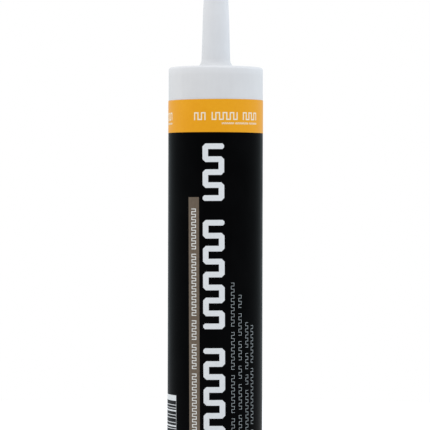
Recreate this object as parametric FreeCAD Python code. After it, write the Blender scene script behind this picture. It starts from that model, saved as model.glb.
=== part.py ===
# Cartridge of construction adhesive for a caulking gun, standing on its open rear end.
#
# One thin-walled moulding is the barrel, the flat end wall and the tapered nozzle with its
# closed tip. Inside are the foil that seals the nozzle, the adhesive and the plunger, a ribbed
# cup with a sealing lip at its front. A printed film wraps the barrel and laps at the back.
#
# Units are millimetres. The origin is the centre of the rear rim, +Z runs along the barrel to
# the nozzle, and the front of the label faces -Y. Angles round the label are in degrees from
# the front, and grow towards +X.

import FreeCAD
import Part

import math
import os

ORIGIN = FreeCAD.Vector(0, 0, 0)
UP = FreeCAD.Vector(0, 0, 1)

# Barrel and end wall
barrel_outer_r = 24.88
barrel_wall = 1.4
barrel_length = 215.0
end_wall = 2.0
shoulder_round = 1.2
inner_corner_bevel = 1.0
rim_bevel = 0.3
lead_in_width = 0.5
lead_in_depth = 1.6

# Nozzle
nozzle_length = 88.0
nozzle_wall = 1.5
nozzle_base_r = 7.7
nozzle_knee_r = 7.0
nozzle_knee_height = 25.0
nozzle_tip_r = 4.1
nozzle_tip_wall = 1.8
nozzle_tip_bevel = 0.8
nozzle_flare = 4.4

# Foil over the inner end of the nozzle
foil_thickness = 0.15
foil_margin = 3.5

# Plunger
plunger_recess = 18.0
plunger_length = 22.0
plunger_clearance = 0.05
plunger_relief = 0.7
plunger_skirt_wall = 1.3
plunger_crown = 1.5
rear_ring_height = 2.4
lip_height = 2.6
lip_land = 0.7
lip_thickness = 0.5
lip_groove_width = 1.3
lip_groove_depth = 1.8
hub_r = 5.0
hub_wall = 1.2
hub_depth = 9.0
rib_count = 8
rib_thickness = 1.2
rib_depth_at_skirt = 13.0

# Adhesive, which stops this far from what holds it
adhesive_gap = 0.05

# Label film, the glue under it and its lap at the back
label_thickness = 0.1
glue_thickness = 0.02
label_top_gap = 17.4
label_bottom_gap = 9.0
label_free_end = 197.0
lap_width = 4.0
lap_climb = 3.0

# Angle in degrees by which the film was wound askew
film_skew = 0.42

# Ink fields on the film
ink_thickness = 0.05
band_height = 17.15
strip_width = 6.0
strip_angle = -26.3
strip_top_gap = 68.3
field_bottom_gap = 18.7

# White bead motif up the front, in three runs of a folded line
bead_angle = -1.7
bead_width = 11.2
bead_stroke = 2.9
bead_corner_cut = 1.5
bead_top_gap = 40.45
bead_run_gap = 9.9
bead_rung_counts = (5, 9, 8)

# White panel at the left, for a stock code
panel_angle = -82.5
panel_width = 23.0
panel_height = 31.0
panel_bottom_gap = 12.1

bore_r = barrel_outer_r - barrel_wall
inner_length = barrel_length - end_wall
tip_z = barrel_length + nozzle_length
mouth_r = nozzle_base_r - nozzle_wall
foil_z = inner_length - foil_thickness
lip_r = bore_r - plunger_clearance
skirt_r = lip_r - plunger_relief
skirt_inner_r = skirt_r - plunger_skirt_wall
crown_z = plunger_recess + plunger_length
crown_under = crown_z - plunger_crown
label_r = barrel_outer_r + glue_thickness + label_thickness
label_top = barrel_length - label_top_gap
ink_r = label_r + ink_thickness


def rounded_wire(corners):
    """Closed wire in the XZ plane through corners of (x, z, radius), each rounded by its radius."""
    count = len(corners)
    points = [FreeCAD.Vector(x, 0, z) for x, z, radius in corners]
    ends = []
    for i, point in enumerate(points):
        radius = corners[i][2]
        before = (points[i - 1] - point).normalize()
        after = (points[(i + 1) % count] - point).normalize()
        if radius == 0:
            ends.append((point, None, point))
            continue
        half = before.getAngle(after) / 2
        middle = (before + after).normalize()
        run = radius / math.tan(half)
        reach = radius / math.sin(half) - radius
        ends.append((point + before * run, point + middle * reach, point + after * run))
    edges = []
    for i, (start, crest, finish) in enumerate(ends):
        if crest is not None:
            edges.append(Part.Arc(start, crest, finish).toShape())
        following = ends[(i + 1) % count][0]
        if following.distanceToPoint(finish) > 1e-6:
            edges.append(Part.LineSegment(finish, following).toShape())
    return Part.Wire(edges)


def turned(corners):
    """Solid turned about the Z axis from a half section of (radius, height, rounding) corners."""
    return Part.Face(rounded_wire(corners)).revolve(ORIGIN, UP, 360)


def at_angle(shape, angle):
    """Turns what was made at the front of the label to its angle round the barrel."""
    shape.rotate(ORIGIN, UP, angle)
    return shape


def make_cartridge():
    """Barrel, end wall and hollow nozzle, one moulding. A straight core forms the inside of
    the nozzle, so its wall is thickest at the knee outside."""
    knee_z = barrel_length + nozzle_knee_height
    tip_under = tip_z - nozzle_tip_wall
    return turned([
        (barrel_outer_r - rim_bevel, 0, 0),
        (barrel_outer_r, rim_bevel, 0),
        (barrel_outer_r, barrel_length, shoulder_round),
        (nozzle_base_r, barrel_length, nozzle_flare),
        (nozzle_knee_r, knee_z, 0),
        (nozzle_tip_r, tip_z - nozzle_tip_bevel, 0),
        (nozzle_tip_r - nozzle_tip_bevel, tip_z, 0),
        (0, tip_z, 0),
        (0, tip_under, 0),
        (nozzle_tip_r - nozzle_wall, tip_under, 0),
        (mouth_r, inner_length, 0),
        (bore_r - inner_corner_bevel, inner_length, 0),
        (bore_r, inner_length - inner_corner_bevel, 0),
        (bore_r, lead_in_depth, 0),
        (bore_r + lead_in_width, 0, 0),
    ])


def make_foil_seal():
    """Foil disc welded to the end wall, over the inner end of the nozzle."""
    foil = Part.makeCylinder(mouth_r + foil_margin, foil_thickness)
    foil.translate(UP * foil_z)
    return foil


def plunger_cup():
    """Crown, skirt, rear ring and the feathered lip that wipes the bore."""
    rear = plunger_recess
    lip_inner_r = lip_r - lip_thickness
    return turned([
        (lip_r, rear, 0),
        (lip_r, rear + rear_ring_height, 0),
        (skirt_r, rear + rear_ring_height + plunger_relief, 0),
        (skirt_r, crown_z - lip_height, 0),
        (lip_r, crown_z - lip_land, 0),
        (lip_r, crown_z, 0),
        (lip_inner_r, crown_z, 0),
        (lip_inner_r - lip_groove_width / 2, crown_z - lip_groove_depth, 0),
        (lip_inner_r - lip_groove_width, crown_z, 0),
        (0, crown_z, 0),
        (0, crown_under, 0),
        (skirt_inner_r, crown_under, 0),
        (skirt_inner_r, rear, 0),
    ])


def plunger_hub():
    """Short tube under the crown that the ribs run into."""
    root = crown_under + plunger_crown / 2
    return turned([
        (hub_r, crown_under - hub_depth, 0),
        (hub_r, root, 0),
        (hub_r - hub_wall, root, 0),
        (hub_r - hub_wall, crown_under - hub_depth, 0),
    ])


def plunger_rib(angle):
    """Web from hub to skirt that deepens towards the skirt and bites into both by half a wall."""
    root = crown_under + plunger_crown / 2
    hub_side = hub_r - hub_wall / 2
    skirt_side = skirt_inner_r + plunger_skirt_wall / 2
    web = Part.Face(rounded_wire([
        (hub_side, root, 0),
        (skirt_side, root, 0),
        (skirt_side, crown_under - rib_depth_at_skirt, 0),
        (hub_side, crown_under - hub_depth, 0),
    ]))
    web.translate(FreeCAD.Vector(0, -rib_thickness / 2, 0))
    return at_angle(web.extrude(FreeCAD.Vector(0, rib_thickness, 0)), angle)


def make_plunger():
    """Ribbed cup that the gun's plate pushes up the bore."""
    ribs = [plunger_rib(360.0 * i / rib_count) for i in range(rib_count)]
    return plunger_cup().multiFuse([plunger_hub()] + ribs).removeSplitter()


def make_adhesive():
    """The paste between the plunger and the foil, with a hair of room all round."""
    side = bore_r - adhesive_gap
    low = crown_z + adhesive_gap
    high = foil_z - adhesive_gap
    return turned([
        (0, low, 0),
        (side, low, 0),
        (side, high - inner_corner_bevel, 0),
        (side - inner_corner_bevel, high, 0),
        (0, high, 0),
    ])


def label_plan(proud):
    """Face of all that the wrap encloses, seen from above and grown by proud. Its radius is
    even but for the last stretch, which climbs over the under end and stops at a step."""
    end = label_free_end
    lap_start = end - math.degrees(lap_width / label_r)
    climb_start = lap_start - math.degrees(lap_climb / label_r)

    def place(radius, angle):
        turn = math.radians(angle - 90)
        return FreeCAD.Vector(radius * math.cos(turn), radius * math.sin(turn), 0)

    low = label_r + proud
    high = low + label_thickness
    under = place(low, end)
    free = place(high, end)
    far_side = place(low, (end + climb_start - 360) / 2)
    main = Part.Arc(under, far_side, place(low, climb_start - 360)).toShape()
    climb_middle = place((low + high) / 2, (climb_start + lap_start) / 2)
    climb = Part.Arc(place(low, climb_start), climb_middle, place(high, lap_start)).toShape()
    lap = Part.Arc(place(high, lap_start), place(high, (lap_start + end) / 2), free).toShape()
    step = Part.LineSegment(free, under).toShape()
    return Part.Face(Part.Wire([main, climb, lap, step]))


def askew(shape):
    """Tilts what was made square to the barrel by the angle that the film was wound askew."""
    shape.rotate(UP * barrel_length / 2, FreeCAD.Vector(0, 1, 0), -film_skew)
    return shape


def wrap(proud, low):
    """Column of the wrap's outline, grown by proud, from a height to the end of the barrel."""
    column = label_plan(proud).extrude(UP * (barrel_length - low))
    column.translate(UP * low)
    return column


def trimmed(shape):
    """What lies below the film's top edge, which is as askew as the film."""
    return shape.common(askew(Part.makeCylinder(2 * ink_r, label_top)))


def make_label():
    """Black film wound once round the barrel and lapped at the back."""
    glued = Part.makeCylinder(barrel_outer_r + glue_thickness, barrel_length)
    film = wrap(0, label_bottom_gap).cut(glued)
    return trimmed(film)


def make_orange_ink():
    """Orange field round the top of the film, broken where the film ends."""
    low = label_top - band_height
    return trimmed(wrap(ink_thickness, low).cut(wrap(0, low)))


def printed(outline, angle):
    """Ink of a flat outline laid on the film at an angle, as askew as the film."""
    field = askew(Part.Face(outline))
    field.translate(FreeCAD.Vector(0, -2 * ink_r, 0))
    stamp = field.extrude(FreeCAD.Vector(0, 2 * ink_r, 0))
    coat = Part.makeCylinder(ink_r, barrel_length).cut(Part.makeCylinder(label_r, barrel_length))
    return at_angle(coat.common(stamp), angle)


def rectangle(width, low, high):
    """Outline of an upright rectangle centred on the front."""
    half = width / 2
    return rounded_wire([(-half, low, 0), (half, low, 0), (half, high, 0), (-half, high, 0)])


def bead_outline(low, rungs, pitch):
    """Outline of one run of the folded bead, its corners cut across. Rungs join in turn at the
    right and at the left, so each side climbs a stretch and then dips round the gap after it."""
    half = bead_width / 2
    fold = half - bead_stroke

    def side(sign, first_gap):
        chain = []
        start = low
        for gap in list(range(first_gap, rungs - 1, 2)) + [rungs - 1]:
            stop = low + gap * pitch + bead_stroke
            cut = min(bead_corner_cut, 0.3 * (stop - start))
            chain += [
                (sign * (half - cut), start, 0),
                (sign * half, start + cut, 0),
                (sign * half, stop - cut, 0),
                (sign * (half - cut), stop, 0),
            ]
            start = low + (gap + 1) * pitch
            if gap < rungs - 1:
                chain += [(-sign * fold, stop, 0), (-sign * fold, start, 0)]
        return chain

    return rounded_wire(side(1, 1) + side(-1, 0)[::-1])


def make_white_ink():
    """Three runs of the bead motif up the front, and the code panel at the left."""
    top = barrel_length - bead_top_gap
    room = top - field_bottom_gap - bead_run_gap * (len(bead_rung_counts) - 1)
    gaps = sum(bead_rung_counts) - len(bead_rung_counts)
    pitch = (room - bead_stroke * len(bead_rung_counts)) / gaps
    fields = []
    for rungs in bead_rung_counts:
        low = top - (rungs - 1) * pitch - bead_stroke
        fields.append(printed(bead_outline(low, rungs, pitch), bead_angle))
        top = low - bead_run_gap
    panel = rectangle(panel_width, panel_bottom_gap, panel_bottom_gap + panel_height)
    fields.append(printed(panel, panel_angle))
    return Part.makeCompound(fields)


def make_taupe_ink():
    """Narrow field beside the bead motif."""
    strip = rectangle(strip_width, field_bottom_gap, barrel_length - strip_top_gap)
    return printed(strip, strip_angle)


def write(name, shape):
    """Writes one piece and says what it is made of."""
    shape.exportStep(os.path.join("parts", name + ".step"))
    solids = len(shape.Solids)
    print(f"{name}: {solids} solid(s), {shape.Volume:.1f} mm3, valid {shape.isValid()}")


os.makedirs("parts", exist_ok=True)
write("cartridge", make_cartridge())
write("foil_seal", make_foil_seal())
write("plunger", make_plunger())
write("adhesive", make_adhesive())
write("label", make_label())
write("orange_ink", make_orange_ink())
write("white_ink", make_white_ink())
write("taupe_ink", make_taupe_ink())
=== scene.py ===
import math

import bmesh
import bpy
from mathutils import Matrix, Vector


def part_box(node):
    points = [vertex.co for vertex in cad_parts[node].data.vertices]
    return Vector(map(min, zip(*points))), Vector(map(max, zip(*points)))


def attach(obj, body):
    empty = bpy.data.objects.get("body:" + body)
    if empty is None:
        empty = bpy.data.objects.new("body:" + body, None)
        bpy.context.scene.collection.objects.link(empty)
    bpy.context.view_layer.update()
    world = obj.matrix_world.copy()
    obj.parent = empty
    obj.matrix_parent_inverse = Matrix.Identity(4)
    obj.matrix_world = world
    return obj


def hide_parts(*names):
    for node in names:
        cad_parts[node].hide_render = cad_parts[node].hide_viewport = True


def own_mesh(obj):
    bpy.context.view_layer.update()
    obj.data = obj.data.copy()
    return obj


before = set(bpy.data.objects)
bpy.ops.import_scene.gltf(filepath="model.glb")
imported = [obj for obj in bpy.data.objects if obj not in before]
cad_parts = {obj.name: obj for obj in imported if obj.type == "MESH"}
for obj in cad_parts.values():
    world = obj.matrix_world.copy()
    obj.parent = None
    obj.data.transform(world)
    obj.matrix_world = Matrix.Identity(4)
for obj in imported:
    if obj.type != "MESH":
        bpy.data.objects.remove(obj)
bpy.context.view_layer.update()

# Cartridge. Barrel, flat shoulder and tapered nozzle are one injection moulding in white
# polyethylene, waxy, faintly cloudy and finely drawn along its length by the moulding's core. It is
# darker on the barrel than on the nozzle. Light and shade are painted into its colour by height: a
# painted highlight on the shoulder's rounded edge, painted shade on the shoulder's flat top, a
# painted lit band at the nozzle's flare, and painted shade at the nozzle's foot that lightens up
# the nozzle.


class Socket:
    """An output of a shader node. Arithmetic on it adds Math nodes to the same material."""

    def __init__(self, tree, link):
        self.tree = tree
        self.link = link

    def node(self, kind, settings=None, sockets=None, output=0):
        """Adds a node: its settings are set first, then its sockets get values or links."""
        added = self.tree.nodes.new(kind)
        for name, value in (settings or {}).items():
            if name == "stops":
                ramp = added.color_ramp.elements
                while len(ramp) < len(value):
                    ramp.new(0.5)
                for stop, (position, colour) in zip(ramp, value):
                    stop.position = position
                    stop.color = (*colour, 1)
            else:
                setattr(added, name, value)
        for name, value in (sockets or {}).items():
            if isinstance(name, str):
                socket = next(s for s in added.inputs if s.name == name and s.enabled)
            else:
                socket = added.inputs[name]
            if isinstance(value, Socket):
                self.tree.links.new(value.link, socket)
            else:
                socket.default_value = value
        if isinstance(output, str):
            return Socket(self.tree, next(s for s in added.outputs if s.name == output and s.enabled))
        return Socket(self.tree, added.outputs[output] if added.outputs else None)

    def arithmetic(self, operation, *values):
        """A Math node's answer from one or two values."""
        return self.node("ShaderNodeMath", {"operation": operation}, dict(enumerate(values)))

    def __add__(self, other):
        return self.arithmetic("ADD", self, other)

    def __sub__(self, other):
        return self.arithmetic("SUBTRACT", self, other)

    def __rsub__(self, other):
        return self.arithmetic("SUBTRACT", other, self)

    def __mul__(self, other):
        return self.arithmetic("MULTIPLY", self, other)

    def __abs__(self):
        return self.arithmetic("ABSOLUTE", self)

    __radd__ = __add__
    __rmul__ = __mul__

    def noise(self, size, detail=2.0, stretch=1.0):
        """Cloudy values from 0 to 1 in patches of a size in metres, drawn out along Z."""
        scaled = self.node("ShaderNodeMapping", {}, {"Vector": self, "Scale": (1, 1, 1 / stretch)})
        return scaled.node("ShaderNodeTexNoise", {}, {"Vector": scaled, "Scale": 1 / size, "Detail": detail})

    def patches(self, size, detail=2.0, stretch=1.0):
        """The same noise with its middle, where most of its values lie, spread from 0 to 1."""
        return self.noise(size, detail, stretch).spread(0.3, 0.7)

    def axis(self, name):
        """One of a place's or a direction's three numbers."""
        return self.node("ShaderNodeSeparateXYZ", {}, {"Vector": self}, name)

    def blend(self, first, second):
        """A colour between two, by this value."""
        return self.node("ShaderNodeMix", {"data_type": "RGBA"},
                         {"Factor": self, "A": first, "B": second}, "Result")

    def spread(self, low, high):
        """This value's range from low to high, stretched to fill 0 to 1."""
        return self.node("ShaderNodeMapRange", {}, {"Value": self, "From Min": low, "From Max": high})

    def ramp(self, *stops):
        """A colour read off stops of (value, colour), by this value."""
        return self.node("ShaderNodeValToRGB", {"stops": stops}, {"Fac": self}, "Color")

    def strengthened(self, amount):
        """This colour times an amount."""
        return self.node("ShaderNodeVectorMath", {"operation": "SCALE"}, {0: self, "Scale": amount}, "Vector")

    def relief(self, depth):
        """The normal of a surface that stands out by this value times a depth in metres."""
        return self.node("ShaderNodeBump", {}, {"Height": self, "Distance": depth}, "Normal")


def new_material(name):
    """A material with no nodes yet but the place of each point, in metres."""
    made = bpy.data.materials.new(name)
    made.use_nodes = True
    made.node_tree.nodes.clear()
    return made, Socket(made.node_tree, None).node("ShaderNodeTexCoord", {}, {}, "Object")


def coat(place, **sockets):
    """Ends a material in a Principled shader with these values or links."""
    named = {name.replace("_", " "): value for name, value in sockets.items()}
    surface = place.node("ShaderNodeBsdfPrincipled", {}, named)
    surface.node("ShaderNodeOutputMaterial", {}, {"Surface": surface})


def dress(piece, made):
    """Gives a piece its one material."""
    piece.data.materials.clear()
    piece.data.materials.append(made)


film_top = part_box("label")[1].z
moulding_reach = 0.060
# Stops of the colour by height: the edge, top, flare and foot stops are painted highlight and painted shade.
moulding_barrel = (0.630, 0.628, 0.622)
moulding_edge_highlight = (0.690, 0.690, 0.688)
moulding_top_shade = (0.595, 0.595, 0.595)
moulding_flare_lit = (0.657, 0.659, 0.661)
moulding_foot_shade = (0.637, 0.644, 0.648)
moulding_clear = (0.665, 0.667, 0.668)
moulding_cloud = 0.012
moulding_grain = 0.0007
moulding_rough = 0.40
moulding_relief = 0.00002
drawn_width = 0.002
drawn_stretch = 14
polyethylene_ior = 1.54

white_moulding, place = new_material("white_moulding")
above_film = place.axis("Z").spread(film_top, film_top + moulding_reach)
# Colour by height above the film: darker on the barrel, a painted highlight at the shoulder's edge, painted
# shade on its top and at the nozzle's foot, a painted lit band at the flare.
painted_tone_by_height = above_film.ramp(
    (0.00, moulding_barrel),
    (0.21, moulding_barrel),
    (0.272, moulding_edge_highlight),
    (0.295, moulding_top_shade),
    (0.345, moulding_flare_lit),
    (0.42, moulding_foot_shade),
    (0.95, moulding_clear),
)
cloud = place.patches(moulding_cloud, 4)
drawn = place.patches(drawn_width, 3, drawn_stretch)
grain = place.noise(moulding_grain, 2)
coat(
    place,
    Base_Color=painted_tone_by_height.strengthened(0.965 + 0.05 * cloud + 0.02 * drawn),
    Roughness=moulding_rough + 0.12 * cloud + 0.06 * drawn,
    IOR=polyethylene_ior,
    Normal=(0.6 * grain + 0.4 * drawn).relief(moulding_relief),
)
dress(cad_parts["cartridge"], white_moulding)

# Foil seal. A disc of aluminium foil, heat sealed over the nozzle's inner end, with the
# rolling lines of the foil and the ring that the sealing head pressed into it.
foil_bright = (0.80, 0.80, 0.81, 1)
foil_dull = (0.62, 0.62, 0.63, 1)
foil_patch = 0.004
foil_stretch = 14
foil_rough = 0.26
foil_relief = 0.00004
seal_ring_r = 0.0078
seal_ring_width = 0.0012

foil_metal, place = new_material("foil_metal")
unrolled = place.node("ShaderNodeMapping", {}, {"Vector": place, "Scale": (1, foil_stretch, 1)})
rolled = unrolled.noise(foil_patch, 5)
across = place.node("ShaderNodeVectorMath", {"operation": "MULTIPLY"}, {0: place, 1: (1, 1, 0)})
from_axis = across.node("ShaderNodeVectorMath", {"operation": "LENGTH"}, {0: across}, "Value")
ring = abs(from_axis - seal_ring_r).spread(seal_ring_width, 0)
coat(
    place,
    Base_Color=(0.6 * rolled + 0.4 * ring).blend(foil_bright, foil_dull),
    Metallic=1.0,
    Roughness=foil_rough + 0.14 * rolled + 0.12 * ring,
    Normal=(0.3 * rolled - ring).relief(foil_relief),
)
dress(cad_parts["foil_seal"], foil_metal)

# Plunger. The ribbed cup in the open rear end, moulded in unpigmented polyethylene, so it is
# a little warmer and more milky than the barrel. It slides up the bore as the tube is used.
plunger_pale = (0.700, 0.695, 0.670, 1)
plunger_milky = (0.755, 0.750, 0.725, 1)
plunger_cloud = 0.007
plunger_grain = 0.0006
plunger_rough = 0.36
plunger_relief = 0.000018

plunger_moulding, place = new_material("plunger_moulding")
cloud = place.patches(plunger_cloud, 4)
grain = place.noise(plunger_grain, 2)
coat(
    place,
    Base_Color=cloud.blend(plunger_pale, plunger_milky),
    Roughness=plunger_rough + 0.14 * cloud,
    IOR=polyethylene_ior,
    Normal=grain.relief(plunger_relief),
)
dress(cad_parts["plunger"], plunger_moulding)

# Adhesive. About 300 ml of tan paste fills the barrel from the plunger to the foil, its upper
# edge drawn in under the end wall. It gives way towards the nozzle as the plunger rises.
paste_tan = (0.60, 0.53, 0.40, 1)
paste_light = (0.70, 0.64, 0.51, 1)
paste_swirl = 0.006
paste_fleck = 0.0009
paste_rough = 0.28
paste_relief = 0.0003
paste_facets = 96
paste_edge = 0.001
paste_rings = (0.0004, 0.006)
end_margin = 0.000001
crease = math.radians(40)

paste_material, place = new_material("paste_material")
stirred = place.noise(paste_swirl, 5, 0.5)
fine = place.noise(paste_fleck, 3)
coat(
    place,
    Base_Color=stirred.blend(paste_tan, paste_light),
    Roughness=paste_rough + 0.25 * fine,
    Normal=(0.8 * stirred + 0.2 * fine).relief(paste_relief),
)


def deselect():
    """Clears the selection that the last step left."""
    bpy.ops.object.select_all(action="DESELECT")


def pick(mesh, kind, wanted):
    """In edit mode, selects those faces or edges whose middle passes a test."""
    sheet = bmesh.from_edit_mesh(mesh)
    for part in (sheet.verts, sheet.edges, sheet.faces):
        for item in part:
            item.select_set(False)
    for item in getattr(sheet, kind):
        middle = sum((vert.co for vert in item.verts), Vector()) / len(item.verts)
        if wanted(middle):
            item.select_set(True)
    bmesh.update_edit_mesh(mesh)


paste_low, paste_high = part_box("adhesive")
paste_height = paste_high.z - paste_low.z
deselect()
bpy.ops.mesh.primitive_cylinder_add(
    vertices=paste_facets,
    radius=paste_high.x,
    depth=paste_height,
    location=(0, 0, paste_low.z + paste_height / 2),
)
paste = bpy.context.object
paste.name = paste.data.name = "paste"
bpy.ops.object.transform_apply(location=True, rotation=True, scale=True)
bpy.ops.object.mode_set(mode="EDIT")
bpy.ops.mesh.select_mode(type="FACE")
pick(paste.data, "faces", lambda middle: middle.z > paste_high.z - end_margin)
bpy.ops.mesh.bevel(offset=paste_edge, segments=3)
pick(paste.data, "faces", lambda middle: middle.z < paste_low.z + end_margin)
for ring_width in paste_rings:
    bpy.ops.mesh.inset(thickness=ring_width)
bpy.ops.object.mode_set(mode="OBJECT")
bpy.ops.object.shade_smooth_by_angle(angle=crease)
dress(paste, paste_material)
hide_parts("adhesive")
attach(paste, "tube")
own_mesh(paste)

# Film label. Black polypropylene film with a satin lacquer, wound once round the barrel between
# the white of the shoulder and of the rim, and glued along its lap at the back, where its cut
# end shows the pale core of the film.
film_black = (0.0010, 0.0010, 0.0011, 1)
film_worn = (0.0022, 0.0023, 0.0025, 1)
film_core = (0.11, 0.11, 0.115, 1)
film_gloss = 0.018
film_rough = 0.28
film_relief = 0.00002
lacquer_patch = 0.015
web_width = 0.0012
web_stretch = 30
cut_end = math.radians(197)
cut_width = 0.0002
back_margin = 0.001

black_film, place = new_material("black_film")
lacquer = place.patches(lacquer_patch, 4)
web_lines = place.noise(web_width, 3, web_stretch)
printed_film = (0.6 * lacquer + 0.4 * web_lines).blend(film_black, film_worn)
past_cut = place.node(
    "ShaderNodeVectorMath",
    {"operation": "DOT_PRODUCT"},
    {0: place, 1: (math.cos(cut_end), math.sin(cut_end), 0)},
    "Value",
)
cut_line = abs(past_cut).spread(cut_width, 0) * place.axis("Y").spread(0, back_margin)
coat(
    place,
    Base_Color=cut_line.blend(printed_film, film_core),
    Roughness=film_rough + 0.06 * lacquer + 0.04 * web_lines,
    Specular_IOR_Level=film_gloss,
    Normal=(0.7 * lacquer + 0.3 * web_lines).relief(film_relief),
)
dress(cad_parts["label"], black_film)

# Orange ink. A flat field round the top of the film, printed over white, so it is opaque and
# bright, with the faint mottle of a printed solid.
orange_deep = (0.745, 0.312, 0.002, 1)
orange_light = (0.785, 0.352, 0.006, 1)
orange_mottle = 0.0014
orange_gloss = 0.18
orange_rough = 0.38
orange_relief = 0.00001

orange_ink, place = new_material("orange_ink")
mottle = place.patches(orange_mottle, 5)
lacquer = place.patches(lacquer_patch, 3)
coat(
    place,
    Base_Color=(0.5 * mottle + 0.5 * lacquer).blend(orange_deep, orange_light),
    Roughness=orange_rough + 0.06 * lacquer,
    Specular_IOR_Level=orange_gloss,
    Normal=(0.7 * lacquer + 0.3 * mottle).relief(orange_relief),
)
dress(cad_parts["orange_ink"], orange_ink)

# White ink. The folded bead up the front and the panel for a stock code at the left, in a
# cool opaque white.
white_cool = (0.650, 0.670, 0.672, 1)
white_clean = (0.693, 0.713, 0.712, 1)
white_mottle = 0.0012
ink_rough = 0.40
ink_ior = 1.49
ink_relief = 0.000006

white_ink, place = new_material("white_ink")
mottle = place.patches(white_mottle, 5)
coat(
    place,
    Base_Color=mottle.blend(white_cool, white_clean),
    Roughness=ink_rough + 0.06 * mottle,
    IOR=ink_ior,
    Normal=mottle.relief(ink_relief),
)
dress(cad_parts["white_ink"], white_ink)

# Taupe ink. The narrow strip beside the folded bead, printed in a muted brown with a fine grain
# that is drawn out a little up the tube.
taupe_dark = (0.108, 0.076, 0.047, 1)
taupe_light = (0.140, 0.101, 0.065, 1)
taupe_grain = 0.0008
taupe_stretch = 3

taupe_ink, place = new_material("taupe_ink")
grain = place.patches(taupe_grain, 4, taupe_stretch)
coat(
    place,
    Base_Color=grain.blend(taupe_dark, taupe_light),
    Roughness=ink_rough + 0.10 * grain,
    IOR=ink_ior,
    Normal=grain.relief(ink_relief),
)
dress(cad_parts["taupe_ink"], taupe_ink)

# Small print on the strip. Pale ink in the same folded bead as the large one, in stretches of
# uneven length up the strip. The film is printed flat and then wrapped, and so is this.
film_proud = 0.00012
ink_proud = 0.00005
print_proud = 0.00003
print_skew = math.radians(0.42)
print_mottle = 0.0010
film_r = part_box("cartridge")[1].x + film_proud
ink_r = film_r + ink_proud
mid_height = 0.1075
strip_turn = math.radians(-26.3)
strip_reach = 0.00265
strip_stroke = 0.00044
strip_pitch = 0.00138
strip_low = 0.0203
strip_rungs = (26, 10, 8, 24, 16)
pale_dark = (0.65, 0.65, 0.61, 1)
pale_light = (0.75, 0.75, 0.70, 1)


def mottled_ink(name, dark, light, rough=ink_rough, **sockets):
    """A printed ink, finely mottled between two shades."""
    made, place = new_material(name)
    mottle = place.patches(print_mottle, 4)
    coat(
        place,
        Base_Color=mottle.blend(dark, light),
        Roughness=rough + 0.06 * mottle,
        **sockets,
    )
    return made


def folded_bead(name, reach, stroke, pitch, rungs, low):
    """Flat bead folded to and fro up the Z axis, centred on X = 0. One fold and back is drawn
    by extruding edges, repeated up the line, and cut between stretches of so many rungs."""
    side = reach / 2
    deselect()
    bpy.ops.mesh.primitive_plane_add(
        size=stroke,
        location=(stroke / 2 - side, 0, low + stroke / 2),
        rotation=(math.radians(90), 0, 0),
    )
    piece = bpy.context.object
    piece.name = piece.data.name = name
    bpy.ops.object.transform_apply(location=True, rotation=True, scale=True)
    bpy.ops.object.mode_set(mode="EDIT")
    bpy.ops.mesh.select_mode(type="EDGE")

    def near(x, z):
        return lambda middle: abs(middle.x - x) < stroke / 4 and abs(middle.z - z) < stroke / 4

    def draw(*moves):
        for move in moves:
            bpy.ops.mesh.extrude_region_move(TRANSFORM_OT_translate={"value": move})

    for way, height in ((1, low), (-1, low + pitch)):
        pick(piece.data, "edges", near(way * (stroke - side), height + stroke / 2))
        draw((way * (reach - 2 * stroke), 0, 0), (way * stroke, 0, 0))
        pick(piece.data, "edges", near(way * (side - stroke / 2), height + stroke))
        draw((0, 0, pitch - stroke))
        if way == 1:
            draw((0, 0, stroke))
    bpy.ops.object.mode_set(mode="OBJECT")
    rows = sum(rungs) + len(rungs) - 1
    fold = piece.modifiers.new("folds", "ARRAY")
    fold.use_relative_offset = False
    fold.use_constant_offset = True
    fold.constant_offset_displace = (0, 0, 2 * pitch)
    fold.count = rows // 2 + 1
    fold.use_merge_vertices = True
    fold.merge_threshold = stroke / 50
    bpy.ops.object.modifier_apply(modifier="folds")
    row = 0
    cuts = []
    for count in rungs:
        row += count
        cuts.append((low + (row - 1) * pitch + stroke, low + (row + 1) * pitch))
        row += 1
    bpy.ops.object.mode_set(mode="EDIT")
    bpy.ops.mesh.select_mode(type="FACE")
    last = cuts[-1][0]
    pick(piece.data, "faces", lambda middle: middle.z > last or any(a < middle.z < b for a, b in cuts))
    bpy.ops.mesh.delete(type="FACE")
    bpy.ops.object.mode_set(mode="OBJECT")
    return piece


def activate(piece):
    """Makes one piece the only one selected, for the next operator."""
    deselect()
    piece.select_set(True)
    bpy.context.view_layer.objects.active = piece


def wrap(piece, radius, turn):
    """Sets a flat print askew as the film is, bends it round the barrel, gives it the
    thickness of ink and turns it to its place."""
    activate(piece)
    bpy.ops.object.mode_set(mode="EDIT")
    bpy.ops.mesh.select_all(action="SELECT")
    bpy.ops.transform.rotate(value=print_skew, orient_axis="Y", center_override=(0, 0, mid_height))
    bpy.ops.object.mode_set(mode="OBJECT")
    across = [vert.co.x for vert in piece.data.vertices]
    bend = piece.modifiers.new("bend", "SIMPLE_DEFORM")
    bend.deform_method = "BEND"
    bend.deform_axis = "Z"
    bend.angle = (max(across) - min(across)) / radius
    bpy.ops.object.modifier_apply(modifier="bend")
    wall = piece.modifiers.new("ink", "SOLIDIFY")
    wall.thickness = print_proud
    wall.offset = -1
    bpy.ops.object.modifier_apply(modifier="ink")
    bpy.ops.object.mode_set(mode="EDIT")
    bpy.ops.mesh.select_all(action="SELECT")
    bpy.ops.transform.translate(value=(0, -radius, 0))
    bpy.ops.transform.rotate(value=-turn, orient_axis="Z", center_override=(0, 0, 0))
    bpy.ops.object.mode_set(mode="OBJECT")


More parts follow.
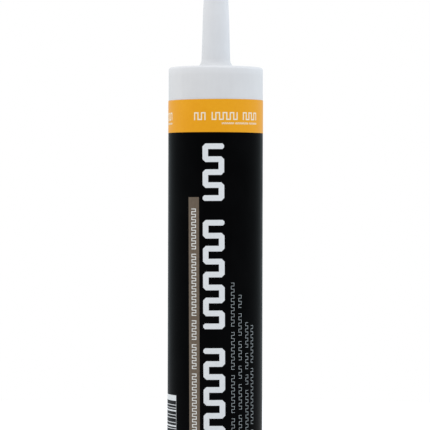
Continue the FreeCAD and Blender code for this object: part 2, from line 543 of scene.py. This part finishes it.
pale_ink = mottled_ink("pale_ink", pale_dark, pale_light)
strip_marks = folded_bead("strip_marks", strip_reach, strip_stroke, strip_pitch, strip_rungs, strip_low)
wrap(strip_marks, ink_r + print_proud, strip_turn)
dress(strip_marks, pale_ink)
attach(strip_marks, "tube")

# Fine print beside the bead. Four lines that end at different heights, in hair-thin pale
# strokes straight on the black film.
line_reach = 0.00175
line_stroke = 0.00019
line_pitch = 0.0016
line_low = 0.0206
line_degrees = (21.1, 30.8, 40.7, 49.6)
line_rungs = ((8, 13, 13, 15), (9, 9, 5, 7, 8, 5), (17, 4, 6, 9), (4, 19, 13))
grey_dark = (0.32, 0.355, 0.36, 1)
grey_light = (0.375, 0.415, 0.42, 1)

grey_ink = mottled_ink("grey_ink", grey_dark, grey_light)
for number, (degrees, rungs) in enumerate(zip(line_degrees, line_rungs), 1):
    line = folded_bead(f"fine_line_{number}", line_reach, line_stroke, line_pitch, rungs, line_low)
    wrap(line, film_r + print_proud, math.radians(degrees))
    dress(line, grey_ink)
    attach(line, "tube")

# Marks on the orange field. The folded bead again, run sideways in cream ink in three places
# round the tube, each with a hair-thin row under its right half.
mark_degrees = (16.8, 139.3, -105.7)
mark_middle = 0.1888
mark_reach = 0.00405
mark_stroke = 0.00062
mark_pitch = 0.0019
mark_rungs = (6, 8, 4)
under_degrees = 17.1
under_middle = 0.1851
under_reach = 0.0009
under_stroke = 0.00024
under_pitch = 0.00052
under_rungs = (12, 16, 13)
cream_dark = (0.765, 0.69, 0.50, 1)
cream_light = (0.825, 0.765, 0.58, 1)

cream_ink = mottled_ink("cream_ink", cream_dark, cream_light)


def lie_across(piece, height):
    """Turns a bead that runs up the tube so that it runs round it, centred at a height."""
    activate(piece)
    bpy.ops.object.mode_set(mode="EDIT")
    bpy.ops.mesh.select_all(action="SELECT")
    bpy.ops.transform.rotate(value=math.radians(90), orient_axis="Y", center_override=(0, 0, 0))
    bpy.ops.object.mode_set(mode="OBJECT")
    across = [vert.co.x for vert in piece.data.vertices]
    bpy.ops.object.mode_set(mode="EDIT")
    bpy.ops.transform.translate(value=(-(min(across) + max(across)) / 2, 0, height))
    bpy.ops.object.mode_set(mode="OBJECT")


for number, degrees in enumerate(mark_degrees, 1):
    mark = folded_bead(f"band_mark_{number}", mark_reach, mark_stroke, mark_pitch, mark_rungs, 0)
    lie_across(mark, mark_middle)
    wrap(mark, ink_r + print_proud, math.radians(degrees))
    row = folded_bead(f"band_row_{number}", under_reach, under_stroke, under_pitch, under_rungs, 0)
    lie_across(row, under_middle)
    wrap(row, ink_r + print_proud, math.radians(degrees + under_degrees))
    for piece in (mark, row):
        dress(piece, cream_ink)
        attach(piece, "tube")

# Stock code. A ladder of black bars on the white panel, clear of its top, foot and far side.
# The widths are a plain rhythm and stand for no number.
panel_turn = math.radians(-82.5)
bar_reach = 0.0208
bar_shift = 0.0015
bar_low = 0.0142
bar_high = 0.0402
bar_step = 0.0004
bar_columns = 20
dark_steps = (5, 3, 2, 4, 3)
light_steps = (1, 1, 2, 1)
bar_black = (0.006, 0.006, 0.007, 1)
bar_worn = (0.014, 0.014, 0.015, 1)
bar_rough = 0.42
bar_gloss = 0.05

bar_ink = mottled_ink("bar_ink", bar_black, bar_worn, bar_rough, Specular_IOR_Level=bar_gloss)
rows = round((bar_high - bar_low) / bar_step)
dark_rows = set()
row = rows
number = 0
while row > 0:
    dark = dark_steps[number % len(dark_steps)]
    dark_rows.update(range(max(row - dark, 0), row))
    row -= dark + light_steps[number % len(light_steps)]
    number += 1
deselect()
bpy.ops.mesh.primitive_grid_add(
    x_subdivisions=bar_columns,
    y_subdivisions=rows,
    size=1,
    location=(bar_shift, 0, bar_low + rows * bar_step / 2),
    rotation=(math.radians(90), 0, 0),
)
code_bars = bpy.context.object
code_bars.name = code_bars.data.name = "code_bars"
code_bars.scale = (bar_reach, rows * bar_step, 1)
bpy.ops.object.transform_apply(location=True, rotation=True, scale=True)
bpy.ops.object.mode_set(mode="EDIT")
bpy.ops.mesh.select_mode(type="FACE")
pick(code_bars.data, "faces", lambda middle: int((middle.z - bar_low) / bar_step) not in dark_rows)
bpy.ops.mesh.delete(type="FACE")
bpy.ops.object.mode_set(mode="OBJECT")
wrap(code_bars, ink_r + print_proud, panel_turn)
dress(code_bars, bar_ink)
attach(code_bars, "tube")

# Camera. Level with the upper part of the label and square on, far enough away for the sides of
# the tube to look parallel, and rolled a hair as the photograph is. The shift frames the tube.
eye_distance = 1.2
eye_height = 0.1463
eye_aside = -0.00023
eye_roll = math.radians(-0.16)
lens_mm = 190.1
sensor_mm = 36
picture_pixels = 430
shift_pixels = -17

bpy.ops.object.camera_add(
    location=(eye_aside, -eye_distance, eye_height),
    rotation=(math.radians(90), eye_roll, 0),
)
camera = bpy.context.object
camera.data.lens = lens_mm
camera.data.sensor_width = sensor_mm
camera.data.shift_y = shift_pixels / picture_pixels
bpy.context.scene.camera = camera
bpy.context.scene.view_settings.view_transform = "Standard"

# Floor. A plain pale disc that keeps the tube's soft shadow. It is open under the tube, out to
# the rim, and clear from below, so that the plunger's recess can be lit and looked into.
floor_r = 0.45
floor_hole_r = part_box("cartridge")[1].x
floor_drop = 0.00005
floor_facets = 128
floor_grey = (0.66, 0.66, 0.66, 1)
floor_glow = 0.26
plain_white = (1, 1, 1, 1)


def ray(place, kind):
    """1 for rays of light of one kind, such as Camera, and 0 for the others."""
    return place.node("ShaderNodeLightPath", {}, {}, f"Is {kind} Ray")


floor_paint, place = new_material("floor_paint")
seen = ray(place, "Camera") + ray(place, "Glossy") + ray(place, "Transmission")
diffuse = place.node("ShaderNodeBsdfDiffuse", {}, {"Color": floor_grey})
glow = place.node("ShaderNodeEmission", {}, {"Color": plain_white, "Strength": floor_glow * seen})
both = place.node("ShaderNodeAddShader", {}, {0: diffuse, 1: glow})
clear = place.node("ShaderNodeBsdfTransparent", {}, {"Color": plain_white})
below = place.node("ShaderNodeNewGeometry", {}, {}, "Backfacing")
sides = place.node("ShaderNodeMixShader", {}, {0: below, 1: both, 2: clear})
sides.node("ShaderNodeOutputMaterial", {}, {"Surface": sides})
deselect()
bpy.ops.mesh.primitive_circle_add(
    vertices=floor_facets,
    radius=floor_r,
    fill_type="NGON",
    location=(0, 0, -floor_drop),
)
floor = bpy.context.object
floor.name = "floor"
bpy.ops.object.transform_apply(location=True, rotation=True, scale=True)
bpy.ops.object.mode_set(mode="EDIT")
bpy.ops.mesh.select_mode(type="FACE")
bpy.ops.mesh.select_all(action="SELECT")
bpy.ops.mesh.inset(thickness=floor_r - floor_hole_r)
bpy.ops.mesh.delete(type="FACE")
bpy.ops.object.mode_set(mode="OBJECT")
dress(floor, floor_paint)

# Light. A studio that looks white all round and lights the tube evenly and softly, a little
# dimmer from the side where the camera stands and cooler from the right, with one broad lamp
# overhead. Gloss mirrors a surround of its own, dim in front and bright and cool behind.
studio_level = 1.185
studio_front = 0.26
studio_sides = 0.20
studio_left = (0.98, 0.98, 1.00, 1)
studio_right = (0.95, 1.01, 1.10, 1)
gloss_front = (0.30, 0.30, 0.30)
gloss_side = (0.66, 0.76, 0.80)
gloss_back = (0.82, 0.94, 1.00)
lamp_forward = 0.2
lamp_height = 1.6
lamp_tilt = math.radians(-7)
lamp_size = 1.0
lamp_power = 5

world = bpy.data.worlds.new("studio")
bpy.context.scene.world = world
world.use_nodes = True
world.cycles.sampling_method = "NONE"
world.node_tree.nodes.clear()
direction = Socket(world.node_tree, None).node("ShaderNodeTexCoord", {}, {}, "Generated")
sideways = direction.axis("X")
backward = direction.axis("Y")
in_front = backward.arithmetic("MINIMUM", backward, 0.0)
dome = studio_level + studio_front * in_front + studio_sides * sideways * sideways
soft = (0.5 + 0.5 * sideways).blend(studio_left, studio_right).strengthened(dome)
mirrored = (0.5 + 0.5 * backward).ramp((0, gloss_front), (0.5, gloss_side), (1, gloss_back))
colour = ray(direction, "Glossy").blend(soft, mirrored)
colour = (ray(direction, "Camera") + ray(direction, "Transmission")).blend(colour, plain_white)
backdrop = colour.node("ShaderNodeBackground", {}, {"Color": colour, "Strength": 1.0})
backdrop.node("ShaderNodeOutputWorld", {}, {"Surface": backdrop})

bpy.ops.object.light_add(
    type="AREA",
    location=(0, -lamp_forward, lamp_height),
    rotation=(lamp_tilt, 0, 0),
)
lamp = bpy.context.object
lamp.data.size = lamp_size
lamp.data.energy = lamp_power
